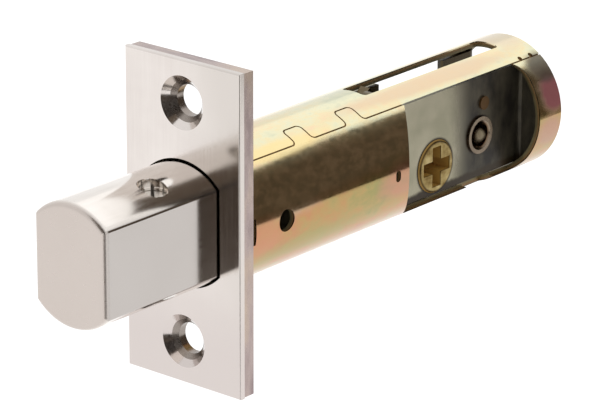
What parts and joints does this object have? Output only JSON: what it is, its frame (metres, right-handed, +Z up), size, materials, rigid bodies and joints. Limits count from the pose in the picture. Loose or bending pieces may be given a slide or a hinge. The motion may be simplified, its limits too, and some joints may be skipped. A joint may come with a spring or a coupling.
{
  "type": "keyed deadlatch",
  "caption": "Tubular deadlatch for a bored door: flat-sided bolt, screw-on faceplate, windowed barrel and a cross-slotted hub that draws the bolt back.",
  "frame": {"origin": "middle of the faceplate's two-screw pattern, on the back of the backing plate, which seats in the door's mortise", "axes": "+Y into the door along the barrel, -Y the way the bolt is thrown, +Z up along the faceplate, +X to the plate's right seen from the door's edge"},
  "size_m": [0.0254, 0.1169, 0.0572],
  "materials": {
    "satin_nickel": "satin",
    "yellow_zinc": "satin",
    "plate_zinc": "satin",
    "case_steel": "satin",
    "eyelet_steel": "satin",
    "spring_steel": "satin",
    "rivet_copper": "satin",
    "hardened_steel": "polished",
    "hub_brass": "satin"
  },
  "bodies": {
    "housing": {"faceplate": "satin_nickel", "backing_plate": "plate_zinc", "barrel": "yellow_zinc", "case_right": "case_steel", "case_left": "case_steel", "front_eyelet": "eyelet_steel", "rear_eyelet": "eyelet_steel", "drag_spring": "spring_steel", "spring_rivet": "rivet_copper"},
    "bolt": {"bolt": "satin_nickel", "bolt_bar": "case_steel", "bar_pin": "spring_steel", "bar_stud": "spring_steel"},
    "cam": {"hub_left": "hub_brass", "hub_right": "hub_brass", "crank_arm": "case_steel"},
    "roller": {"hardened_roller": "hardened_steel"}
  },
  "joints": [
    {"name": "bolt_slide", "type": "slide", "parent": "housing", "child": "bolt", "axis": [0, 1, 0], "range_m": [0, 0.0254]},
    {"name": "cam_turn", "type": "hinge", "parent": "housing", "child": "cam", "pos_m": [0, 0.05675, -0.0042], "axis": [-1, 0, 0], "range_deg": [0, 90.1]},
    {"name": "roller_spin", "type": "hinge", "parent": "bolt", "child": "roller", "pos_m": [0.0036, -0.01485, 0], "axis": [0, 0, 1], "continuous": true}
  ],
  "couplings": [
    {"joint": "cam_turn", "follows": "bolt_slide", "rad_per_m": 61.842}
  ]
}
